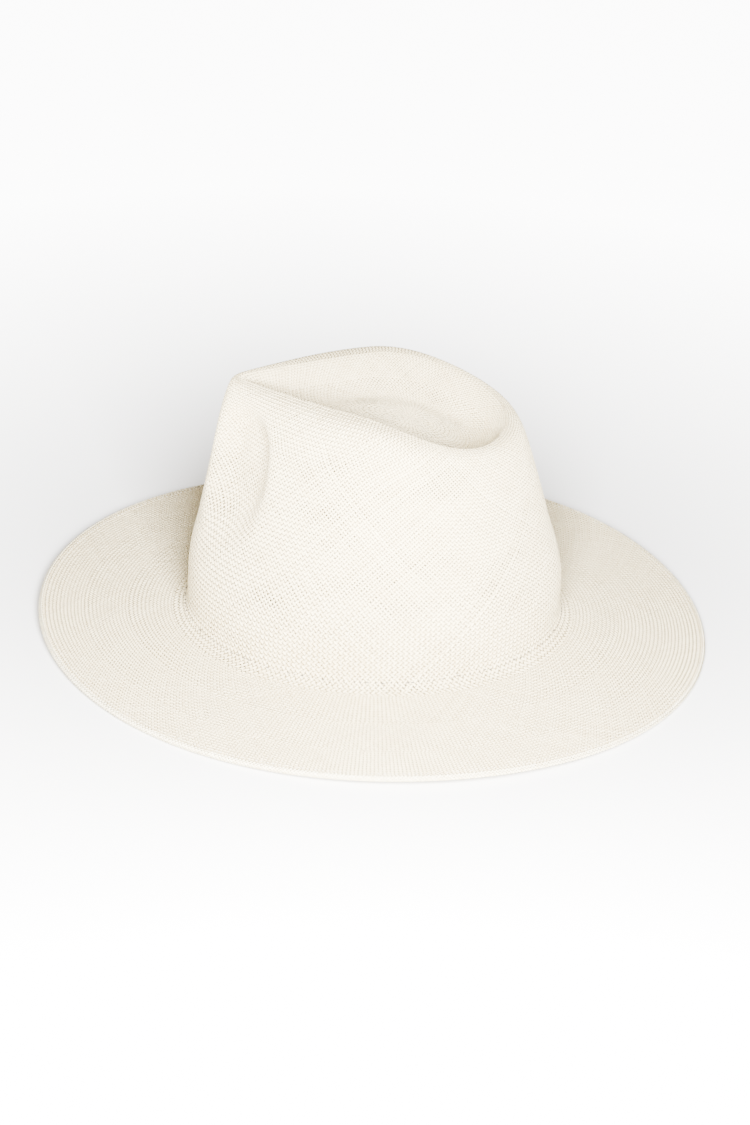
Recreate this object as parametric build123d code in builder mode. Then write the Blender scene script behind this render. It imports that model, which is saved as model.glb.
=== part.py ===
"""Panama hat: a one-piece plaited straw crown and brim, its turned hem, and the sewn-in sweatband.

Millimetres. +Z is up and -Y is the wearer's forward. The origin is on the surface that the hat stands on,
under the middle of its outline.
"""

import os

import numpy as np
from build123d import *

# Head oval, where crown meets brim
HEAD_HALF_WIDTH = 84.1
HEAD_HALF_LENGTH = 100.6
HEAD_TILT = 0.04  # the oval rises by this much per mm towards the back
HEAD_LIFT = 4.4  # height of the oval's centre above the brim's mean edge

# Teardrop ridge round the dent in the crown
RIDGE_HALF_WIDTH = 47.0
RIDGE_HALF_LENGTH = 70.9
RIDGE_CENTRE_Y = -6.3
RIDGE_WIDTH_MID = 0.84  # share of the half width at mid length
RIDGE_WIDTH_GAIN = 0.58  # extra share at the back, and as much less at the front
RIDGE_HEIGHT = 133.5
RIDGE_FALL = 19.0  # how much lower the back of the ridge is
RIDGE_FALL_START_Y = -13.5
RIDGE_FALL_LENGTH = 84.3
ROSETTE_SHIFT = 19.6  # the centre of the weave lies this far behind the ridge's centre

# Dent inside the ridge
DENT_DEPTH = 16.5
DENT_GROOVE = 0.60  # the deepest ring, as a share of the way from centre to ridge
DENT_MIDDLE = 0.86  # depth at the centre, as a share of the groove's

# Crown wall
WALL_ROUNDNESS = 4.0
WALL_UPRIGHT = 0.24  # share of the height that stands straight up
WALL_LEAN_SIDE = 0.50
WALL_LEAN_FRONT = 0.72
WALL_LEAN_BACK = 0.70
WALL_STEP = 1.0  # the foot of the crown is this much fuller
WALL_STEP_HEIGHT = 47.4
FOOT_BEND = 8.2  # how far the bend into the brim reaches, up the wall and out along the brim

# Two pinches at the front of the crown
PINCH_DEPTH = 12.5
PINCH_ANGLE = -58.5
PINCH_HEIGHT = 98.0
PINCH_HALF_HEIGHT = 34.0
PINCH_HALF_WIDTH = 27.0
PINCH_SOFTNESS = 0.46

# Brim
BRIM_WIDTH = 80.1
BRIM_WAVES = {2: (0.3, 0.0), 3: (0.5, 1.6)}  # order: cosine and sine heights at the edge
STRAW_THICKNESS = 1.4

# Turned hem at the brim's edge
HEM_FOLD = 1.6
HEM_WIDTH = 5.6
HEM_THICKNESS = 1.2
HEM_GAP = 0.1
HEM_STITCHES = 208
HEM_STITCH_INSET = 3.8

# Sweatband and what belongs to it
BAND_GAP = 0.5
BAND_THICKNESS = 1.0
BAND_HEIGHT = 34.0
BAND_FOOT = 2.6  # height of the band's lower edge above the head oval
REED_DIAMETER = 2.0
BAND_STITCHES = 132
BAND_STITCH_HEIGHT = 5.0
STITCH_THICKNESS = 0.5
STITCH_WIDTH = 0.7
SEAM_CROSSES = 6
SEAM_PITCH = 4.8
BOW_LOOP_HALF_LENGTH = 6.5
BOW_LOOP_HALF_HEIGHT = 3.6
BOW_THICKNESS = 1.4
BOW_KNOT = 4.4
BOW_HEIGHT = 12.0
BOW_CLEARANCE = 1.5  # the ends of the loops stand clear of the band's curve

RING_POINTS = 48
CROWN_ROWS = 30


def ease(t):
    """Smooth step from 0 to 1."""
    t = np.clip(t, 0, 1)
    return t * t * (3 - 2 * t)


def head_oval(theta):
    return HEAD_HALF_WIDTH * np.cos(theta), HEAD_HALF_LENGTH * np.sin(theta)


def head_normal(theta):
    """Outward direction of the head oval in plan."""
    nx = HEAD_HALF_LENGTH * np.cos(theta)
    ny = HEAD_HALF_WIDTH * np.sin(theta)
    length = np.hypot(nx, ny)
    return nx / length, ny / length


def ridge_height(y):
    return RIDGE_HEIGHT - RIDGE_FALL * ease((y - RIDGE_FALL_START_Y) / RIDGE_FALL_LENGTH)


def crown_top(theta, rho):
    """The dented top: rho runs from 0 at the rosette to 1 on the ridge."""
    a = rho * np.cos(theta)
    b = rho * np.sin(theta)
    x = RIDGE_HALF_WIDTH * a * (RIDGE_WIDTH_MID + RIDGE_WIDTH_GAIN * b)
    y = RIDGE_CENTRE_Y + RIDGE_HALF_LENGTH * b + ROSETTE_SHIFT * (1 - rho**2)
    groove = DENT_GROOVE**2
    rim = ease((1 - rho**2) / (1 - groove))
    middle = DENT_MIDDLE + (1 - DENT_MIDDLE) * ease(rho**2 / groove)
    return x, y, ridge_height(y) - DENT_DEPTH * rim * middle


def wall_lean(theta):
    """Share of the wall's inward travel that is a straight lean, the rest being the rounding at the top."""
    front = ease(-np.sin(theta)) ** 1.5
    back = ease(np.sin(theta)) ** 1.5
    lean = WALL_LEAN_SIDE + (WALL_LEAN_FRONT - WALL_LEAN_SIDE) * front
    return lean + (WALL_LEAN_BACK - WALL_LEAN_SIDE) * back


def pinch_amount(theta, centre, height, share):
    """How much of a pinch's depth applies at this place on the wall."""
    along = np.angle(np.exp(1j * (theta - centre))) * (HEAD_HALF_WIDTH + HEAD_HALF_LENGTH) / 2
    reach = np.hypot(along / PINCH_HALF_WIDTH, (height - PINCH_HEIGHT) / PINCH_HALF_HEIGHT)
    soft = ease((reach - 1 + PINCH_SOFTNESS) / (2 * PINCH_SOFTNESS))
    return (1 - soft) * ease((1 - share) / 0.17)


def crown_wall(theta, psi):
    """The wall: psi runs from 0 at the head oval to a right angle on the ridge."""
    size = (np.cos(psi) ** WALL_ROUNDNESS + np.sin(psi) ** WALL_ROUNDNESS) ** (1 / WALL_ROUNDNESS)
    rounding = 1 - np.cos(psi) / size
    share = np.sin(psi) / size
    past = share - WALL_UPRIGHT
    ramp = np.minimum((past + np.sqrt(past**2 + 0.004)) / 2 / (1 - WALL_UPRIGHT), 1)
    lean = wall_lean(theta)
    inward = lean * ramp + (1 - lean) * rounding
    foot_x, foot_y = head_oval(theta)
    top_x, top_y, _ = crown_top(theta, 1.0)
    x = foot_x + (top_x - foot_x) * inward
    y = foot_y + (top_y - foot_y) * inward
    z = ridge_height(y) * share
    nx, ny = head_normal(theta)
    step = WALL_STEP * ease((z - WALL_STEP_HEIGHT + 10) / 20) * (1 - ease((z - 82) / 40))
    x = x - nx * step
    y = y - ny * step
    for centre in (np.radians(PINCH_ANGLE), np.pi - np.radians(PINCH_ANGLE)):
        depth = PINCH_DEPTH * pinch_amount(theta, centre, z, share)
        px, py = head_normal(centre)
        x = x - px * depth
        y = y - py * depth
    return x, y, z


def brim(theta, w):
    """The brim: w runs from 0 at the head oval to 1 at the outer edge."""
    foot_x, foot_y = head_oval(theta)
    nx, ny = head_normal(theta)
    wave = sum(c * np.cos(k * theta) + s * np.sin(k * theta) for k, (c, s) in BRIM_WAVES.items())
    z = -HEAD_LIFT * w + HEAD_TILT * foot_y * (1 - w) + wave * w**1.5
    return foot_x + nx * BRIM_WIDTH * w, foot_y + ny * BRIM_WIDTH * w, z


# Angles of the sections through the hat, and the height that puts the hem on the ground
theta_ring = np.linspace(0, 2 * np.pi, RING_POINTS, endpoint=False)
half = STRAW_THICKNESS / 2
lowest_w = np.array([[1 - HEM_FOLD * 0.7 / BRIM_WIDTH], [1 - HEM_WIDTH / BRIM_WIDTH]])
REST = half + HEM_GAP + HEM_THICKNESS - float(brim(np.linspace(0, 2 * np.pi, 721)[None], lowest_w)[2].min())
ROSETTE_CAP = 0.07
TOP_ROWS = 60
straw_end = 1 - (HEM_FOLD + 0.1) / BRIM_WIDTH


def meridians(theta):
    """The straw's middle surface: for each angle, points from the rosette over the ridge to the edge."""
    t = theta[:, None]
    rho = np.linspace(ROSETTE_CAP, 1, TOP_ROWS)[None, :-1]
    top = np.stack(np.broadcast_arrays(*crown_top(t, rho)), -1)
    start = np.arctan2(FOOT_BEND, ridge_height(head_oval(t)[1]))
    psi = np.pi / 2 + (start - np.pi / 2) * np.linspace(0, 1, 110)[None, :]
    wall = np.stack(np.broadcast_arrays(*crown_wall(t, psi)), -1)
    w = np.linspace(FOOT_BEND / BRIM_WIDTH, straw_end, 60)[None, :]
    flat = np.stack(np.broadcast_arrays(*brim(t, w)), -1)
    for zone in (top, wall):
        zone[..., 2] += HEAD_TILT * zone[..., 1]
    corner = np.stack(brim(t, 0 * t), -1)
    share = np.linspace(0, 1, 12)[None, 1:-1, None]
    bend = (1 - share) ** 2 * wall[:, -1:] + 2 * share * (1 - share) * corner + share**2 * flat[:, :1]
    lines = np.concatenate([top, wall, bend, flat], 1)
    lines[..., 2] += REST
    return lines


def outward_normals(lines):
    """Unit normals of the surface, pointing out of the crown and up from the brim."""
    around = np.roll(lines, -1, 0) - np.roll(lines, 1, 0)
    normals = np.cross(np.gradient(lines, axis=1), around)
    return normals / np.linalg.norm(normals, axis=2, keepdims=True)


def even_rows(values, lines, count):
    """Values along each meridian, resampled to rows an even distance apart."""
    steps = np.linalg.norm(np.diff(lines, axis=1), axis=2)
    rows = []
    for value, step in zip(values, steps):
        run = np.concatenate([[0], np.cumsum(step)])
        even = np.linspace(0, run[-1], count)
        rows.append(np.stack([np.interp(even, run, value[:, axis]) for axis in range(3)], 1))
    return np.array(rows)


def on_wall(lines, values, height):
    """Values where the wall or its bend is at a height above the tilted head oval."""
    rows = slice(TOP_ROWS + 20, TOP_ROWS + 120)
    above = (lines[:, rows, 2] - REST - HEAD_TILT * lines[:, rows, 1])[:, ::-1]
    wall = values[:, rows][:, ::-1]
    return np.array(
        [[np.interp(height, up, value[:, axis]) for axis in range(3)] for up, value in zip(above, wall)]
    )


def ring(points):
    """A smooth closed curve through points."""
    corners = [Vector(*p) for p in points]
    return Wire([Edge.make_spline(corners, periodic=True, parameters=range(len(corners) + 1))])


def skin(rings):
    """Faces through a row of rings."""
    return Shell.make_loft([ring(points) for points in rings], ruled=len(rings) == 2).faces()


def hoop(corners):
    """A closed hoop with a cornered section, each corner being one ring of points."""
    faces = []
    for this, following in zip(corners, corners[1:] + corners[:1]):
        faces += skin([this, following])
    return Solid(Shell(faces))


def even_angles(count):
    """Angles of evenly spaced places round the head oval."""
    fine = np.linspace(0, 2 * np.pi, 3601)
    x, y = head_oval(fine)
    run = np.concatenate([[0], np.cumsum(np.hypot(np.diff(x), np.diff(y)))])
    return np.interp(np.arange(count) * run[-1] / count, run, fine)


def facing(point, normal):
    """A frame at a point of the hat: z along the outward normal, x level."""
    nx, ny, nz = (float(value) for value in normal)
    return Plane(origin=Vector(*(float(value) for value in point)), x_dir=(-ny, nx, 0), z_dir=(nx, ny, nz))


lines = meridians(theta_ring)
normals = outward_normals(lines)
outer_rows = np.swapaxes(even_rows(lines + normals * half, lines, CROWN_ROWS), 0, 1)
inner_rows = np.swapaxes(even_rows(lines - normals * half, lines, CROWN_ROWS), 0, 1)
for rows in (outer_rows, inner_rows):
    cap = rows[0]
    slope = np.polyfit(cap[:, 1], cap[:, 2], 1)
    cap[:, 2] = np.polyval(slope, cap[:, 1])

# Crown and brim, woven in one piece
straw_faces = skin(outer_rows) + skin(inner_rows) + skin([outer_rows[-1], inner_rows[-1]])
for rows in (outer_rows, inner_rows):
    straw_faces.append(Face(ring(rows[0])))
with BuildPart() as straw_body:
    add(Solid(Shell(straw_faces)))
straw_body.part.label = "straw_body"

# Straw turned down round the edge and back under the brim
hem_section = [
    (-HEM_WIDTH, -half - HEM_GAP),
    (-HEM_WIDTH, -half - HEM_GAP - HEM_THICKNESS),
    (-HEM_FOLD * 0.7, -half - HEM_GAP - HEM_THICKNESS),
    (-HEM_FOLD * 0.15, -half - HEM_GAP - HEM_THICKNESS * 0.65),
    (0.0, -half * 0.8),
    (-HEM_FOLD * 0.2, half * 0.45),
    (-HEM_FOLD, half),
    (-HEM_FOLD, -half - HEM_GAP),
]
hem_rings = []
for out, up in hem_section:
    x, y, z = brim(theta_ring, 1 + out / BRIM_WIDTH)
    hem_rings.append(np.stack([x, y, z + REST + up], 1))
with BuildPart() as brim_hem:
    add(hoop(hem_rings))
brim_hem.part.label = "brim_hem"

# Stitches through the brim that hold the hem down
hem_angles = even_angles(HEM_STITCHES)
x, y, z = brim(hem_angles, 1 - HEM_STITCH_INSET / BRIM_WIDTH)
nx, ny = head_normal(hem_angles)
turns = np.degrees(np.arctan2(ny, nx))
lift = REST + half + STITCH_THICKNESS / 2
hem_places = [
    Location((float(px), float(py), float(pz) + lift), (0, 0, float(turn)))
    for px, py, pz, turn in zip(x, y, z, turns)
]
with BuildPart() as hem_stitches:
    with Locations(*hem_places):
        Box(STITCH_WIDTH, 2.6, STITCH_THICKNESS)
hem_stitches.part.label = "hem_stitches"

# Sweatband: the strip against the wearer's head, following the crown's wall
level = normals * (1, 1, 0)
level /= np.linalg.norm(level, axis=2, keepdims=True)
band_outer = -half - BAND_GAP
band_inner = band_outer - BAND_THICKNESS


def inside_wall(height, out):
    """A ring of points inside the wall, at a height above the head oval and an offset from the straw."""
    return on_wall(lines, lines, height) + on_wall(lines, level, height) * out


band_heights = [BAND_FOOT + BAND_HEIGHT * share for share in np.linspace(0, 1, 5)]
outer_rings = [inside_wall(height, band_outer) for height in band_heights]
inner_rings = [inside_wall(height, band_inner) for height in band_heights]
band_faces = skin(outer_rings) + skin(inner_rings)
band_faces += skin([outer_rings[0], inner_rings[0]]) + skin([outer_rings[-1], inner_rings[-1]])
with BuildPart() as sweatband:
    add(Solid(Shell(band_faces)))
sweatband.part.label = "sweatband"

# Reed: the piping along the band's lower edge
reed_radius = REED_DIAMETER / 2
reed_middle = inside_wall(BAND_FOOT, (band_outer + band_inner) / 2) - (0, 0, reed_radius)
reed_rings = []
for angle in np.arange(12) * np.pi / 6:
    out = np.cos(angle) * reed_radius
    up = np.sin(angle) * reed_radius
    reed_rings.append(reed_middle + on_wall(lines, level, BAND_FOOT) * out + (0, 0, up))
with BuildPart() as sweatband_reed:
    add(hoop(reed_rings))
sweatband_reed.part.label = "sweatband_reed"

# Stitches through the foot of the crown that hold the sweatband
band_angles = even_angles(BAND_STITCHES)
stitch_lines = meridians(band_angles)
stitch_normals = outward_normals(stitch_lines)
stitch_points = on_wall(stitch_lines, stitch_lines, BAND_STITCH_HEIGHT)
stitch_out = on_wall(stitch_lines, stitch_normals, BAND_STITCH_HEIGHT)
stitch_points = stitch_points + stitch_out * (half + STITCH_THICKNESS / 2 + 0.05)
with BuildPart() as sweatband_stitches:
    with Locations(*[facing(point, out).location for point, out in zip(stitch_points, stitch_out)]):
        Box(2.2, STITCH_WIDTH, STITCH_THICKNESS)
sweatband_stitches.part.label = "sweatband_stitches"


def on_band_back(height):
    """A frame on the band's inner face at the back: z towards the hat's middle, y up the band."""
    back = RING_POINTS // 4
    here = inside_wall(height, band_inner)[back]
    above = inside_wall(height + 1, band_inner)[back]
    rise = above - here
    towards_middle = (0, -float(rise[2]), float(rise[1]))
    return Plane(origin=(0, float(here[1]), float(here[2])), x_dir=(-1, 0, 0), z_dir=towards_middle)


# Cross stitches that join the band's two ends
seam_foot = BAND_FOOT + (BAND_HEIGHT - SEAM_PITCH * (SEAM_CROSSES - 1)) / 2
seam_planes = [on_band_back(seam_foot + SEAM_PITCH * i).offset(0.05) for i in range(SEAM_CROSSES)]
with BuildPart() as sweatband_seam:
    with BuildSketch(*seam_planes):
        Rectangle(0.6, 5.0, rotation=38)
        Rectangle(0.6, 5.0, rotation=-38)
    extrude(amount=STITCH_THICKNESS)
sweatband_seam.part.label = "sweatband_seam"

# Small ribbon bow over the seam
bow_plane = on_band_back(BAND_FOOT + BOW_HEIGHT)
with BuildPart() as rear_bow:
    with BuildSketch(bow_plane.offset(BOW_CLEARANCE)):
        with Locations((-BOW_LOOP_HALF_LENGTH, 0), (BOW_LOOP_HALF_LENGTH, 0)):
            Ellipse(BOW_LOOP_HALF_LENGTH, BOW_LOOP_HALF_HEIGHT)
            Ellipse(BOW_LOOP_HALF_LENGTH * 0.55, BOW_LOOP_HALF_HEIGHT * 0.35, mode=Mode.SUBTRACT)
    extrude(amount=BOW_THICKNESS)
    with BuildSketch(bow_plane.offset(STITCH_THICKNESS + 0.15)):
        RectangleRounded(BOW_KNOT, BOW_KNOT * 1.3, BOW_KNOT * 0.25)
    extrude(amount=BOW_CLEARANCE - STITCH_THICKNESS - 0.15 + BOW_THICKNESS * 1.4)
rear_bow.part.label = "rear_bow"

os.makedirs("parts", exist_ok=True)
for piece in (
    straw_body,
    brim_hem,
    hem_stitches,
    sweatband,
    sweatband_reed,
    sweatband_stitches,
    sweatband_seam,
    rear_bow,
):
    export_step(piece.part, f"parts/{piece.part.label}.step")
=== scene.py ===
"""Panama hat: woven straw crown and brim, turned hem, stitches and sweatband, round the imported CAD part."""

import math

import bpy
import numpy as np
from mathutils import Matrix, Vector


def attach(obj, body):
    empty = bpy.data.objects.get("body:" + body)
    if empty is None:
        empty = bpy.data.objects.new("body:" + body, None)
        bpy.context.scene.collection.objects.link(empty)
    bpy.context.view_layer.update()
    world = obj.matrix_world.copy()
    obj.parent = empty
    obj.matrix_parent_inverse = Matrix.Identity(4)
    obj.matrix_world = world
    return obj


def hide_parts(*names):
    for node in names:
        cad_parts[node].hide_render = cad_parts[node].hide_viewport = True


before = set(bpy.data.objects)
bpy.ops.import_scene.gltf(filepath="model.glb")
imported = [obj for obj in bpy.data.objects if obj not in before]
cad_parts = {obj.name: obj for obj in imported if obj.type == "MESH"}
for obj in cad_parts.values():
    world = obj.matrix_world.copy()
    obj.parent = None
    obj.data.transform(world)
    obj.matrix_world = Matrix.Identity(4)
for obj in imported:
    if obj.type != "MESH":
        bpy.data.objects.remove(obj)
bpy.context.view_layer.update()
rng = np.random.default_rng(7)
MM = 0.001
TURN = 2 * np.pi

# Shape of the straw's middle surface, in millimetres unless said otherwise
# Head oval: half width, half length, slope along the hat, and how far the brim falls to its edge
HEAD_W, HEAD_L, HEAD_TILT, HEAD_LIFT = 84.1, 100.6, 0.04, 4.4
# Ridge seen from above: half width, half length, shift, and how its width grows from front to back
RIDGE_W, RIDGE_L, RIDGE_Y, RIDGE_MID, RIDGE_GAIN = 47.0, 70.9, -6.3, 0.84, 0.58
# Ridge seen from the side: height, how much it falls, where the fall starts, over what length
RIDGE_Z, RIDGE_FALL, FALL_Y, FALL_LEN = 133.5, 19.0, -13.5, 84.3
# Dent in the top: depth, share of the way out to its groove, depth share in the middle, middle's shift
DENT, GROOVE, MIDDLE, ROSETTE = 16.5, 0.60, 0.86, 19.6
# Wall: roundness of the shoulder, share of its height that is upright, and its lean at side, front and back
ROUND, UPRIGHT, LEAN_SIDE, LEAN_FRONT, LEAN_BACK = 4.0, 0.24, 0.50, 0.72, 0.70
RAMP_BLEND, LEAN_POWER = 0.004, 1.5
# Block step in the wall: depth, height, half its rise, where it fades out and over what height
STEP, STEP_Z, STEP_HALF, STEP_END, STEP_FADE = 1.0, 47.4, 10, 82, 40
# Bend from wall to brim: how far out it reaches
FOOT = 8.2
# Front pinches: depth, angle in degrees, height, half height, half width, softness and fade at the ridge
PINCH, PINCH_A, PINCH_Z, PINCH_H, PINCH_W, PINCH_S, PINCH_FADE = 12.5, -58.5, 98.0, 34.0, 27.0, 0.46, 0.17
# Brim: width, then waves round it, two to a turn and three to a turn, and how they grow outward
BRIM_W, WAVE_TWO, WAVE_THREE, WAVE_THREE_SIDE, WAVE_POWER = 80.1, 0.3, 0.5, 1.6, 1.5
# Straw's thickness, and the hem: fold past the brim's edge, width, thickness and gap
STRAW, HEM_FOLD, HEM_W, HEM_T, HEM_GAP = 1.4, 1.6, 5.6, 1.2, 0.1
# Sweatband: height of its foot, width, gap to the straw, thickness, and the reed's radius
BAND_FOOT, BAND_H, BAND_GAP, BAND_T, REED_R = 2.6, 34.0, 0.5, 1.0, 1.0

# Weave: how much open runs narrow a strand, and the least and most share of the spacing it fills
LOOSE, LEAST_FILL, MOST_FILL = 0.13, 0.62, 1.03
# Rings of the crown's top: from and to as shares of the way out, and strands each way
TOP_RINGS = [(0.004, 0.07, 10), (0.06, 0.16, 24), (0.15, 0.30, 46)]
TOP_RINGS += [(0.29, 0.52, 86), (0.51, 0.76, 140), (0.75, 1.0, 190)]
BRIM_RINGS = [(0.0, 0.36, 340), (0.355, 0.70, 430), (0.695, 1.0, 520)]
WALL_STRANDS, HEM_STRANDS = 210, 560
# Stitches: how many, distance in from their zone's outer edge, and mean radius of the row
HEM_STITCHES, HEM_STITCH_IN, HEM_STITCH_RADIUS = 340, 2.1, 172
BAND_STITCHES, BAND_STITCH_IN, BAND_STITCH_RADIUS = 150, 8.4, 93


def ease(t):
    """Smooth step from 0 to 1."""
    t = np.clip(t, 0, 1)
    return t * t * (3 - 2 * t)


def head_oval(th):
    """Foot of the crown at angle th."""
    return HEAD_W * np.cos(th), HEAD_L * np.sin(th)


def head_normal(th):
    """Outward direction of the head oval at angle th."""
    nx, ny = HEAD_L * np.cos(th), HEAD_W * np.sin(th)
    size = np.hypot(nx, ny)
    return nx / size, ny / size


def ridge_height(y):
    """Height of the crown's ridge, which falls towards the back."""
    return RIDGE_Z - RIDGE_FALL * ease((y - FALL_Y) / FALL_LEN)


def crown_top(th, rho):
    """Top of the crown inside the ridge: rho runs from 0 in the middle to 1 at the ridge."""
    a, b = rho * np.cos(th), rho * np.sin(th)
    x = RIDGE_W * a * (RIDGE_MID + RIDGE_GAIN * b)
    y = RIDGE_Y + RIDGE_L * b + ROSETTE * (1 - rho**2)
    groove = GROOVE**2
    rim = ease((1 - rho**2) / (1 - groove))
    return x, y, ridge_height(y) - DENT * rim * (MIDDLE + (1 - MIDDLE) * ease(rho**2 / groove))


def crown_wall(th, psi):
    """Wall of the crown: psi runs from 0 at the foot to a quarter turn at the ridge."""
    size = (np.cos(psi) ** ROUND + np.sin(psi) ** ROUND) ** (1 / ROUND)
    rounding, share = 1 - np.cos(psi) / size, np.sin(psi) / size
    past = share - UPRIGHT
    ramp = np.minimum((past + np.sqrt(past**2 + RAMP_BLEND)) / 2 / (1 - UPRIGHT), 1)
    lean = LEAN_SIDE + (LEAN_FRONT - LEAN_SIDE) * ease(-np.sin(th)) ** LEAN_POWER
    lean = lean + (LEAN_BACK - LEAN_SIDE) * ease(np.sin(th)) ** LEAN_POWER
    inward = lean * ramp + (1 - lean) * rounding
    foot, top = head_oval(th), crown_top(th, 1.0)
    x, y = (f + (t - f) * inward for f, t in zip(foot, top))
    z = ridge_height(y) * share
    nx, ny = head_normal(th)
    step = STEP * ease((z - STEP_Z + STEP_HALF) / (2 * STEP_HALF)) * (1 - ease((z - STEP_END) / STEP_FADE))
    x, y = x - nx * step, y - ny * step
    for centre in (math.radians(PINCH_A), math.pi - math.radians(PINCH_A)):
        along = np.angle(np.exp(1j * (th - centre))) * (HEAD_W + HEAD_L) / 2
        reach = np.hypot(along / PINCH_W, (z - PINCH_Z) / PINCH_H)
        depth = PINCH * (1 - ease((reach - 1 + PINCH_S) / (2 * PINCH_S))) * ease((1 - share) / PINCH_FADE)
        px, py = head_normal(centre)
        x, y = x - px * depth, y - py * depth
    return x, y, z


def brim(th, w):
    """Brim: w runs from 0 at the foot of the crown to 1 at the edge."""
    foot, normal = head_oval(th), head_normal(th)
    wave = WAVE_TWO * np.cos(2 * th) + WAVE_THREE * np.cos(3 * th) + WAVE_THREE_SIDE * np.sin(3 * th)
    z = -HEAD_LIFT * w + HEAD_TILT * foot[1] * (1 - w) + wave * w**WAVE_POWER
    return foot[0] + normal[0] * BRIM_W * w, foot[1] + normal[1] * BRIM_W * w, z


# Height that puts the hem's lowest place on the ground
HALF = STRAW / 2
hem_edges = 1 - np.array([[HEM_FOLD * 0.7], [HEM_W]]) / BRIM_W
lowest = brim(np.linspace(0, TURN, 721)[None], hem_edges)[2].min()
REST = HALF + HEM_GAP + HEM_T - lowest


def stack(*xyz):
    """Points from their x, y and z."""
    return np.stack(np.broadcast_arrays(*xyz), -1)


def zone_top(th, count):
    """Rows from the middle of the top out to the ridge."""
    top = stack(*crown_top(th[None], np.linspace(0.004, 1, count)[:, None]))
    top[..., 2] += HEAD_TILT * top[..., 1] + REST
    return top


def zone_wall(th, count):
    """Rows from the ridge down the wall and round the bend, to where the brim starts."""
    t = th[None]
    start = np.arctan2(FOOT, ridge_height(head_oval(t)[1]))
    psi = np.pi / 2 + (start - np.pi / 2) * np.linspace(0, 1, count)[:, None]
    wall = stack(*crown_wall(t, psi))
    wall[..., 2] += HEAD_TILT * wall[..., 1]
    corner, out = stack(*brim(t, 0 * t)), stack(*brim(t, FOOT / BRIM_W + 0 * t))
    s = np.linspace(0, 1, 16)[1:, None, None]
    bend = (1 - s) ** 2 * wall[-1:] + 2 * s * (1 - s) * corner + s**2 * out
    rows = np.concatenate([wall, bend])
    rows[..., 2] += REST
    return rows


def zone_brim(th, w0, w1, count):
    """Rows from share w0 to share w1 of the brim's width."""
    rows = stack(*brim(th[None], np.linspace(w0, w1, count)[:, None]))
    rows[..., 2] += REST
    return rows


def zone_hem(th):
    """Rows round the hem: from the top of the fold, over the edge and back under the brim."""
    under = -HALF - HEM_GAP - HEM_T
    section = [(-HEM_FOLD, HALF + 0.1), (-0.5, HALF * 0.55), (0.0, -HALF * 0.6), (-0.4, under * 0.8)]
    section += [(-1.3, under + 0.12), (-3.2, under + 0.12), (-HEM_W, under + 0.12)]
    rows = [stack(*brim(th, 1 + out / BRIM_W)) + (0, 0, REST + up) for out, up in section]
    return np.array(rows)


TH = np.linspace(0, TURN, 1441)[:-1] + np.pi / 2


class Patch:
    """A zone as rows of rings, with the rows, and the places on each ring, an even distance apart."""

    def __init__(self, rows):
        steps = np.linalg.norm(np.diff(rows, axis=0), axis=2).mean(1)
        run = np.concatenate([[0], np.cumsum(steps)])
        self.length = run[-1]
        even = np.linspace(0, self.length, 2 * len(rows))
        index = np.interp(even, run, np.arange(len(rows)))
        low = np.minimum(index.astype(int), len(rows) - 2)
        rows = rows[low] + (rows[low + 1] - rows[low]) * (index - low)[:, None, None]
        out = []
        for row in rows:
            closed = np.vstack([row, row[:1]])
            round_it = np.concatenate([[0], np.cumsum(np.linalg.norm(np.diff(closed, axis=0), axis=1))])
            places = np.linspace(0, round_it[-1], len(row), endpoint=False)
            out.append(np.stack([np.interp(places, round_it, closed[:, a]) for a in range(3)], 1))
        self.p = np.array(out)
        self.radius = np.linalg.norm(np.roll(self.p, -1, 1) - self.p, axis=2).sum(1) / TURN
        around = np.roll(self.p, -1, 1) - np.roll(self.p, 1, 1)
        n = np.cross(np.gradient(self.p, axis=0), around)
        self.n = n / np.maximum(np.linalg.norm(n, axis=2, keepdims=True), 1e-9)

    def at(self, values, phi, s):
        """Values of the grid at share phi of the way round and distance s down."""
        rows, places = self.p.shape[:2]
        r = np.clip(s / self.length, 0, 1) * (rows - 1)
        c = (phi % 1.0) * places
        r0, c0 = np.minimum(r.astype(int), rows - 2), c.astype(int) % places
        fr, fc, c1 = (r - r0)[..., None], (c - np.floor(c))[..., None], (c0 + 1) % places
        near = values[r0, c0] * (1 - fc) + values[r0, c1] * fc
        return near * (1 - fr) + (values[r0 + 1, c0] * (1 - fc) + values[r0 + 1, c1] * fc) * fr


def smooth_noise(phi, s, scale, seed):
    """Slow variation over a patch, from about -1 to 1."""
    r = np.random.default_rng(seed)
    total = 0
    for _ in range(10):
        k, m = r.integers(-9, 10), r.normal(0, 1 / scale)
        total = total + np.sin(TURN * (k * phi + m * s) + r.uniform(0, 6.28))
    return total / 4


def build_mesh(name, verts, faces, uv, tint=None):
    """A smooth mesh of four-sided faces, with its bake layout and, if given, a tint at every point."""
    mesh = bpy.data.meshes.new(name)
    mesh.vertices.add(len(verts))
    mesh.vertices.foreach_set("co", (np.asarray(verts, float) * MM).astype(np.float32).ravel())
    faces = np.asarray(faces, np.int32)
    mesh.loops.add(faces.size)
    mesh.loops.foreach_set("vertex_index", faces.ravel())
    mesh.polygons.add(len(faces))
    mesh.polygons.foreach_set("loop_start", np.arange(len(faces), dtype=np.int32) * faces.shape[1])
    mesh.polygons.foreach_set("use_smooth", np.full(len(faces), True))
    mesh.update(calc_edges=True)
    layer = mesh.uv_layers.new(name="OFBake")
    layer.data.foreach_set("uv", np.asarray(uv, np.float32)[faces.ravel()].ravel())
    if tint is not None:
        attribute = mesh.attributes.new("tint", "FLOAT", "POINT")
        attribute.data.foreach_set("value", np.asarray(tint, np.float32))
    obj = bpy.data.objects.new(name, mesh)
    bpy.context.scene.collection.objects.link(obj)
    return obj


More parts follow.
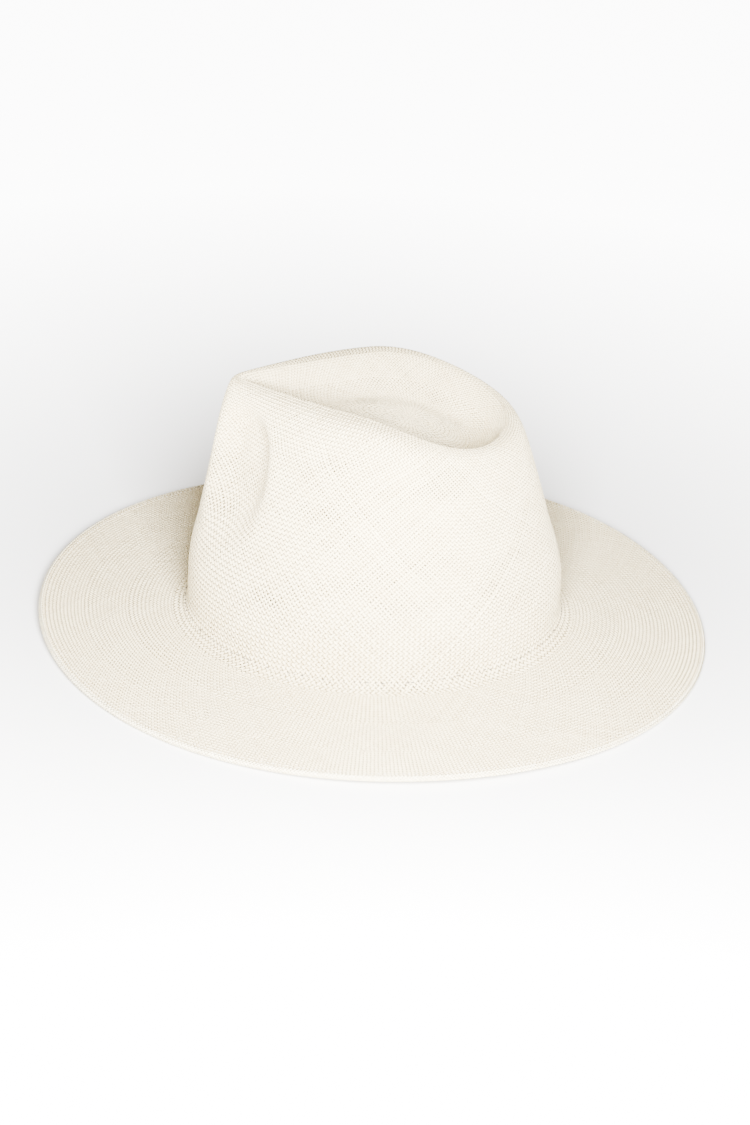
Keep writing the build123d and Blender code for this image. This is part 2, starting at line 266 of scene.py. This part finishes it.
def ribbons(lines, side, up, width, thick, tint, row0, rows):
    """Straw strands with a lens section. lines, side and up are strands by samples by xyz."""
    count, samples = lines.shape[:2]
    across = side * (width / 2)[..., None]
    lift = up * (thick / 2)
    ring = np.stack([lines + across, lines + lift, lines - across, lines - lift], 2)
    base = (np.arange(count)[:, None, None] * samples + np.arange(samples - 1)[None, :, None]) * 4
    k = np.arange(4)[None, None]
    faces = np.stack([base + k, base + (k + 1) % 4, base + 4 + (k + 1) % 4, base + 4 + k], -1)
    u = np.broadcast_to(np.linspace(0.002, 0.998, samples)[None, :, None], ring.shape[:3])
    v = (row0 + np.arange(count)[:, None, None] + np.array([0.1, 0.5, 0.9, 0.5])) / rows
    uv = np.stack([u, np.broadcast_to(v, ring.shape[:3])], -1).reshape(-1, 2)
    tints = np.broadcast_to(tint[..., None], ring.shape[:3]).ravel()
    return ring.reshape(-1, 3), faces.reshape(-1, 4), uv, tints


def weave(name, patch, count, s0, s1, fill, seed, thick=0.42, parts=1, wave=0.27):
    """Plain weave at 45 degrees on a patch, count strands each way, from distance s0 to s1.

    fill is the share of the spacing that a strand covers, thick its thickness, and wave how far it goes
    over and under. The strands are made whole and then cut into as many pieces as parts says.
    """
    fine = np.linspace(0, patch.length, 800)
    radius = np.interp(fine, np.linspace(0, patch.length, len(patch.radius)), patch.radius)
    turn = np.concatenate([[0], np.cumsum(np.diff(fine) / np.maximum((radius[1:] + radius[:-1]) / 2, 0.4))])
    turn -= np.interp(s0, fine, turn)
    end = np.interp(s1, fine, turn)
    last = max(int(round(end * count / np.pi)), 3)
    n = np.arange(0, last + 1)
    s = np.interp(n * end / last, turn, fine)
    r = np.random.default_rng(seed)
    wobble = r.normal(0, 0.05, (2, count))
    families = []
    for family, sign in ((0, 1), (1, -1)):
        i = np.arange(count)[:, None]
        phi = (i + wobble[family][:, None] + sign * n[None] / 2) / count
        ss = np.broadcast_to(s[None], phi.shape) + r.normal(0, 0.05, phi.shape)
        p, up = patch.at(patch.p, phi, ss), patch.at(patch.n, phi, ss)
        up = up / np.linalg.norm(up, axis=-1, keepdims=True)
        other = patch.at(patch.p, phi - sign / count, ss)
        along = np.gradient(p, axis=1)
        along /= np.maximum(np.linalg.norm(along, axis=2, keepdims=True), 1e-9)
        side = np.cross(up, along)
        side /= np.maximum(np.linalg.norm(side, axis=2, keepdims=True), 1e-9)
        spacing = np.abs(((p - other) * side).sum(-1))
        loose = smooth_noise(phi, ss, 40, seed + 11) + 0.6 * smooth_noise(phi * 3, ss, 12, seed + 5)
        own = r.normal(0, 0.05, count)[:, None]
        share = fill - LOOSE * np.clip(loose, -0.6, 1.6) + own + r.normal(0, 0.035, phi.shape)
        width = spacing * np.clip(share, LEAST_FILL, MOST_FILL)
        over = np.where((n[None] + family) % 2 == 0, 1.0, -1.0)
        p = p + up * (over * wave + r.normal(0, 0.025, phi.shape))[..., None]
        tint = np.clip(0.5 + r.normal(0, 0.22, count)[:, None] + r.normal(0, 0.06, phi.shape), 0, 1)
        families.append((p, side, up, width, tint))
    made = []
    cuts = np.linspace(0, last, parts + 1).astype(int)
    for k in range(parts):
        rows = slice(cuts[k], cuts[k + 1] + 1)
        data, start = [], 0
        for f, (p, side, up, width, tint) in enumerate(families):
            p, side, up, width, tint = (values[:, rows] for values in (p, side, up, width, tint))
            points, quads, uv, tints = ribbons(p, side, up, width, thick, tint, f * count, 2 * count)
            data.append((points, quads + start, uv, tints))
            start += len(points)
        verts, faces, uv, tints = (np.concatenate(x) for x in zip(*data))
        made.append(build_mesh(name if parts == 1 else f"{name}_{k + 1}", verts, faces, uv, tints))
    return made


def tubes(name, paths, radius, sides=6):
    """Short closed threads: paths are threads by samples by xyz, with narrow ends."""
    count, samples = paths.shape[:2]
    along = np.gradient(paths, axis=1)
    along /= np.linalg.norm(along, axis=2, keepdims=True)
    side = np.cross(along, np.array([0.0137, 0.0071, 1.0]))
    side /= np.linalg.norm(side, axis=2, keepdims=True)
    up = np.cross(side, along)
    taper = np.ones(samples)
    taper[0] = taper[-1] = 0.35
    r = radius * taper[None, :, None, None]
    angle = np.arange(sides) * TURN / sides
    rim = side[:, :, None] * np.cos(angle)[:, None] + up[:, :, None] * np.sin(angle)[:, None]
    ring = paths[:, :, None] + r * rim
    base = (np.arange(count)[:, None, None] * samples + np.arange(samples - 1)[None, :, None]) * sides
    k = np.arange(sides)[None, None]
    faces = np.stack([base + k, base + (k + 1) % sides, base + sides + (k + 1) % sides, base + sides + k], -1)
    caps = []
    for first in (0, samples - 1):
        start = (np.arange(count) * samples + first) * sides
        for q in range(sides // 2 - 1):
            a, b, c = (start + (j + q * 2) % sides for j in (1, 2, 3))
            caps.append(np.stack([start, a, b, c], -1))
    faces = np.concatenate([faces.reshape(-1, 4), *caps])
    u = np.broadcast_to(np.linspace(0.01, 0.99, samples)[None, :, None], ring.shape[:3])
    v = (np.arange(count)[:, None, None] + np.linspace(0.1, 0.9, sides)) / count
    uv = np.stack([u, np.broadcast_to(v, ring.shape[:3])], -1).reshape(-1, 2)
    tint = np.repeat(np.clip(rng.normal(0.5, 0.25, count), 0, 1), samples * sides)
    return build_mesh(name, ring.reshape(-1, 3), faces, uv, tint)


def material(name, dark, light, rough, tinted=False, noise_scale=900.0, bump=0.15, sheen=0.0):
    """A finish from dark to light by fine noise and by strand tint or broad noise, with fine bumps."""
    m = bpy.data.materials.new(name)
    m.use_nodes = True
    nodes, links = m.node_tree.nodes, m.node_tree.links
    shader = nodes["Principled BSDF"]
    shader.inputs["Roughness"].default_value = rough
    shader.inputs["Specular IOR Level"].default_value = 0.35
    shader.inputs["Sheen Weight"].default_value = sheen
    place = nodes.new("ShaderNodeTexCoord")
    noise = nodes.new("ShaderNodeTexNoise")
    noise.inputs["Scale"].default_value = noise_scale
    noise.inputs["Detail"].default_value = 4.0
    links.new(place.outputs["Object"], noise.inputs["Vector"])
    broad = nodes.new("ShaderNodeTexNoise")
    broad.inputs["Scale"].default_value = 45.0
    broad.inputs["Detail"].default_value = 3.0
    links.new(place.outputs["Object"], broad.inputs["Vector"])
    add = nodes.new("ShaderNodeMath")
    add.operation = "ADD"
    links.new(noise.outputs["Fac"], add.inputs[0])
    if tinted:
        attribute = nodes.new("ShaderNodeAttribute")
        attribute.attribute_name = "tint"
        links.new(attribute.outputs["Fac"], add.inputs[1])
    else:
        links.new(broad.outputs["Fac"], add.inputs[1])
    scale = nodes.new("ShaderNodeMapRange")
    scale.inputs["From Min"].default_value = 0.55
    scale.inputs["From Max"].default_value = 1.45
    links.new(add.outputs[0], scale.inputs["Value"])
    mix = nodes.new("ShaderNodeMix")
    mix.data_type = "RGBA"
    mix.inputs["A"].default_value = (*dark, 1)
    mix.inputs["B"].default_value = (*light, 1)
    links.new(scale.outputs["Result"], mix.inputs["Factor"])
    links.new(mix.outputs["Result"], shader.inputs["Base Color"])
    bumps = nodes.new("ShaderNodeBump")
    bumps.inputs["Strength"].default_value = bump
    bumps.inputs["Distance"].default_value = 0.0002
    links.new(noise.outputs["Fac"], bumps.inputs["Height"])
    links.new(bumps.outputs["Normal"], shader.inputs["Normal"])
    return m


straw_mat = material("straw", (0.68, 0.57, 0.34), (0.81, 0.71, 0.46), 0.55, tinted=True)
hem_mat = material("hem_straw", (0.76, 0.66, 0.43), (0.90, 0.83, 0.62), 0.55, tinted=True)
hem_thread = material("hem_thread", (0.66, 0.60, 0.49), (0.80, 0.75, 0.65), 0.7, tinted=True)
band_thread = material("band_thread", (0.07, 0.06, 0.05), (0.22, 0.19, 0.15), 0.75, tinted=True)
leather = material("band_leather", (0.50, 0.37, 0.24), (0.66, 0.52, 0.36), 0.42, noise_scale=1400, bump=0.35)
reed_mat = material("reed_binding", (0.42, 0.31, 0.20), (0.56, 0.43, 0.29), 0.6, noise_scale=2500, bump=0.4)
seam_mat = material("seam_thread", (0.50, 0.41, 0.29), (0.66, 0.56, 0.42), 0.7, tinted=True)
ribbon = material(
    "bow_ribbon", (0.10, 0.08, 0.065), (0.17, 0.14, 0.11), 0.5, noise_scale=3000, bump=0.3, sheen=0.3
)

# Woven straw: crown top in widening rings, wall, and brim
top = Patch(zone_top(TH, 240))
wall = Patch(zone_wall(TH, 260))
BRIM_IN = FOOT / BRIM_W
brim_patch = Patch(zone_brim(TH, BRIM_IN, 1 - (HEM_FOLD + 0.3) / BRIM_W, 160))
hem_patch = Patch(zone_hem(TH))
straws = []
for k, (a, b, count) in enumerate(TOP_RINGS):
    a, b = a * top.length, b * top.length
    straws += weave(f"crown_top_ring_{k + 1}", top, count, a, b, fill=0.91, seed=20 + k, wave=0.2)
end = wall.length
straws += weave("crown_wall", wall, WALL_STRANDS, 0, end, fill=0.90, seed=40, thick=0.36, parts=3, wave=0.2)
for k, (a, b, count) in enumerate(BRIM_RINGS):
    a, b = a * brim_patch.length, b * brim_patch.length
    name = f"brim_weave_{k + 1}"
    straws += weave(name, brim_patch, count, a, b, fill=0.96, seed=60 + k, thick=0.26, parts=2, wave=0.11)
hem = weave("hem_fold", hem_patch, HEM_STRANDS, 0, hem_patch.length, fill=1.0, seed=80, thick=0.3)


def dress(objects, finish, slot_name, *nodes):
    """Give pieces their finish and the body they ride on, and hide the CAD nodes they stand for."""
    for obj in objects:
        obj.data.materials.append(finish)
        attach(obj, "root")
        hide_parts(*nodes)


dress(straws, straw_mat, "straw", "straw_body")
dress(hem, hem_mat, "hem_straw", "brim_hem")


def ring_places(count, jitter):
    """Shares of the way round for stitches, nearly evenly spaced."""
    return (np.arange(count) + rng.normal(0, jitter, count)) / count


def stitch_row(name, patch, places, half_turn, depth, lift, arch, radius):
    """Threads along a ring of the patch: depth down it, lift above it and arched in the middle."""
    reach = np.linspace(-1, 1, 5)
    share = places[:, None] + reach[None] * half_turn[:, None]
    depth = np.broadcast_to(depth, share.shape)
    line = patch.at(patch.p, share, depth)
    line = line + patch.at(patch.n, share, depth) * (lift + arch * (1 - reach**2))[None, :, None]
    return tubes(name, line, radius)


# Stitches through the brim that hold the hem: a low bump of thread in a pinched hole
places = ring_places(HEM_STITCHES, 0.1)
half_turn = rng.uniform(0.35, 0.62, HEM_STITCHES) / (TURN * HEM_STITCH_RADIUS)
depth = brim_patch.length - HEM_STITCH_IN
threads = stitch_row("hem_thread", brim_patch, places, half_turn, depth, 0.42, 0.14, radius=0.24)
dress([threads], hem_thread, "hem_thread", "hem_stitches")

# Stitches through the foot of the crown: short dark threads, uneven in length
places = ring_places(BAND_STITCHES, 0.16)
is_long = rng.random(BAND_STITCHES) < 0.45
length = np.where(is_long, rng.uniform(0.8, 1.15, BAND_STITCHES), rng.uniform(0.35, 0.5, BAND_STITCHES))
half_turn = length / (TURN * BAND_STITCH_RADIUS)
depth = wall.length - BAND_STITCH_IN + rng.normal(0, 0.25, (BAND_STITCHES, 1))
threads = stitch_row("band_thread", wall, places, half_turn, depth, 0.46, 0.1, radius=0.30)
dress([threads], band_thread, "band_thread", "sweatband_stitches")

# Sweatband inside the wall: a leather strip with a turned upper edge, then its reed, seam and bow
ring_th = TH[::6]
inside = zone_wall(ring_th, 260)
height = inside[..., 2] - REST - HEAD_TILT * inside[..., 1]
nx, ny = head_normal(ring_th)


def inside_wall(up, out):
    """Ring of places on the wall at height up, moved outward by out."""
    points = np.array(
        [[np.interp(up, height[::-1, i], inside[::-1, i, a]) for a in range(3)] for i in range(len(ring_th))]
    )
    return points + np.stack([nx * out, ny * out, 0 * nx], 1)


def hoops(name, rings):
    """A ring-shaped closed surface through rings of points."""
    rings = np.array(rings)
    rows, places = rings.shape[:2]
    r = np.arange(rows)[:, None]
    c = np.arange(places)[None]
    faces = np.stack([r * places + c, r * places + (c + 1) % places], -1)
    nxt = (r + 1) % rows * places
    faces = np.stack([faces[..., 0], faces[..., 1], nxt + (c + 1) % places, nxt + c], -1).reshape(-1, 4)
    u = np.broadcast_to(np.arange(places) / places, (rows, places))
    v = np.broadcast_to((np.arange(rows) / rows)[:, None], (rows, places))
    return build_mesh(name, rings.reshape(-1, 3), faces, np.stack([u, v], -1).reshape(-1, 2))


outer, inner = -HALF - BAND_GAP, -HALF - BAND_GAP - BAND_T
mid_band = (outer + inner) / 2
profile = [(BAND_FOOT + BAND_H * k / 12, outer) for k in range(13)]
profile += [(BAND_FOOT + BAND_H + 0.35, mid_band)]
profile += [(BAND_FOOT + BAND_H * k / 12, inner - 0.12 * math.sin(k * 1.9) ** 2) for k in range(12, -1, -1)]
band = hoops("sweatband_strip", [inside_wall(up, out) for up, out in profile])
dress([band], leather, "band_leather", "sweatband")
reed_rings, reed_sides, reed_twists = [], 10, 30
twist = np.arange(len(ring_th)) * TURN * reed_twists / len(ring_th)
for k in range(reed_sides):
    angle = k * TURN / reed_sides
    r = REED_R * (0.94 + 0.05 * np.cos(2 * angle + twist))
    points = inside_wall(BAND_FOOT, mid_band) - (0, 0, REED_R)
    outward = np.cos(angle) * r
    reed_rings.append(points + np.stack([nx * outward, ny * outward, np.sin(angle) * r], 1))
dress([hoops("reed_piping", reed_rings)], reed_mat, "reed_binding", "sweatband_reed")

# Cross stitches where the band's ends meet, at the back
BACK = 0
CROSSES, CROSS_STEP, CROSS_REACH, CROSS_LEAN = 6, 4.8, 2.4, 38
crosses = []
for k in range(CROSSES):
    up = BAND_FOOT + (BAND_H - (CROSSES - 1) * CROSS_STEP) / 2 + CROSS_STEP * k
    centre = inside_wall(up, inner - 0.3)[BACK]
    for lean in (CROSS_LEAN, -CROSS_LEAN):
        a = math.radians(lean)
        t = np.linspace(-CROSS_REACH, CROSS_REACH, 7)
        bulge = 0.18 * (1 - (t / CROSS_REACH) ** 2) + (0.12 if lean > 0 else 0)
        crosses.append(centre + np.stack([t * math.sin(a), -bulge, t * math.cos(a)], 1))
dress([tubes("seam_thread", np.array(crosses), 0.24)], seam_mat, "seam_thread", "sweatband_seam")

# Bow of narrow ribbon: two soft loops and a knot
bow_centre = inside_wall(BAND_FOOT + 12, inner)[BACK]


def loop(sign):
    """One loop of the bow, on the side that sign gives, as rows across the ribbon."""
    t = np.linspace(0, TURN, 49)
    x = sign * (1.2 + 5.9 * (1 - np.cos(t)))
    y = -(1.6 + 0.75 * np.sin(t) * (1 - np.cos(t)) / 1.3)
    spread = 1.1 + 2.3 * np.sin(t / 2) ** 1.2
    rows = []
    for side in np.linspace(-1, 1, 7):
        rows.append(np.stack([x, y - 0.12 * np.cos(side * 3), side * spread], 1) + bow_centre)
    return np.array(rows)


bow_parts = [loop(1), loop(-1)]
k = np.linspace(0, TURN, 33)
knot = []
for side in np.linspace(-1, 1, 7):
    fat = 1 - 0.12 * side**2
    row = np.stack([side * 2.0 + 0 * k, -1.75 + 1.15 * np.cos(k) * fat, 2.5 * np.sin(k) * fat], 1)
    knot.append(row + bow_centre)
bow_parts.append(np.array(knot))
verts, faces, uv, start = [], [], [], 0
for n_part, part in enumerate(bow_parts):
    rows, places = part.shape[:2]
    r, c = np.arange(rows - 1)[:, None], np.arange(places - 1)[None]
    quad = np.stack([r * places + c, r * places + c + 1, (r + 1) * places + c + 1, (r + 1) * places + c], -1)
    faces.append(quad.reshape(-1, 4) + start)
    u = np.broadcast_to(np.linspace(0.01, 0.99, places), (rows, places))
    v = np.broadcast_to((n_part + np.linspace(0.05, 0.95, rows)[:, None]) / 3, (rows, places))
    uv.append(np.stack([u, v], -1).reshape(-1, 2))
    verts.append(part.reshape(-1, 3))
    start += rows * places
bow = build_mesh("ribbon_bow", np.concatenate(verts), np.concatenate(faces), np.concatenate(uv))
thicken = bow.modifiers.new("thickness", "SOLIDIFY")
thicken.thickness = 0.00025
dress([bow], ribbon, "bow_ribbon", "rear_bow")
middle_line = inside_wall(BAND_FOOT + BAND_H / 2, mid_band)

# Floor, light and camera
bpy.ops.mesh.primitive_plane_add(size=12, location=(0, 0, -0.0005))
floor = bpy.context.object
floor.name = "floor"
floor_mat = bpy.data.materials.new("floor")
floor_mat.use_nodes = True
nodes, links = floor_mat.node_tree.nodes, floor_mat.node_tree.links
shader = nodes["Principled BSDF"]
shader.inputs["Base Color"].default_value = (0.86, 0.86, 0.86, 1)
shader.inputs["Roughness"].default_value = 0.9
shader.inputs["Emission Color"].default_value = (1, 1, 1, 1)
# The floor glows away from the hat: not at all within 0.15 m, and fully from 0.6 m
glow = nodes.new("ShaderNodeMapRange")
glow.inputs["From Min"].default_value = 0.15
glow.inputs["From Max"].default_value = 0.60
glow.inputs["To Max"].default_value = 11.0
spot = nodes.new("ShaderNodeTexCoord")
span = nodes.new("ShaderNodeVectorMath")
span.operation = "LENGTH"
links.new(spot.outputs["Object"], span.inputs[0])
links.new(span.outputs["Value"], glow.inputs["Value"])
links.new(glow.outputs["Result"], shader.inputs["Emission Strength"])
floor.data.materials.append(floor_mat)

world = bpy.data.worlds.new("world")
bpy.context.scene.world = world
world.use_nodes = True
sky = world.node_tree.nodes["Background"]
sky.inputs["Color"].default_value = (1.0, 0.85, 0.62, 1)
sky.inputs["Strength"].default_value = 0.40


def towards(azimuth, elevation):
    """Direction from the hat, with azimuth 0 at its front and 90 on the wearer's left."""
    a, e = math.radians(azimuth), math.radians(elevation)
    return Vector((math.sin(a) * math.cos(e), -math.cos(a) * math.cos(e), math.sin(e)))


# One soft light, aimed at the middle of the crown
LIGHT_DISTANCE, CROWN_MIDDLE = 0.65, Vector((0, 0, 0.06))
where = towards(98, 27) * LIGHT_DISTANCE
light = bpy.data.lights.new("key", "AREA")
light.size = 0.24
light.energy = 50
key = bpy.data.objects.new("key", light)
key.location = where + CROWN_MIDDLE
key.rotation_euler = (-where).to_track_quat("-Z", "Y").to_euler()
bpy.context.scene.collection.objects.link(key)

AZIMUTH, ELEVATION, ROLL, DISTANCE = 94, 30.65, math.radians(3.28), 1.6487
FOCAL, FILM, FRAME_HEIGHT = 3033, 36, 1125
AIM = Vector((0, 0, 0.0019))
back = towards(AZIMUTH, ELEVATION)
level = Vector((math.cos(math.radians(AZIMUTH)), math.sin(math.radians(AZIMUTH)), 0))
rise = back.cross(level)
right = level * math.cos(ROLL) + rise * math.sin(ROLL)
upward = rise * math.cos(ROLL) - level * math.sin(ROLL)
camera = bpy.data.objects.new("camera", bpy.data.cameras.new("camera"))
camera.data.sensor_width = FILM
camera.data.lens = FOCAL * FILM / FRAME_HEIGHT
camera.data.shift_x, camera.data.shift_y = 0.0025, 0.0471
turn = Matrix((right, upward, back)).transposed().to_4x4()
camera.matrix_world = Matrix.Translation(back * DISTANCE + AIM) @ turn
bpy.context.scene.collection.objects.link(camera)
bpy.context.scene.camera = camera
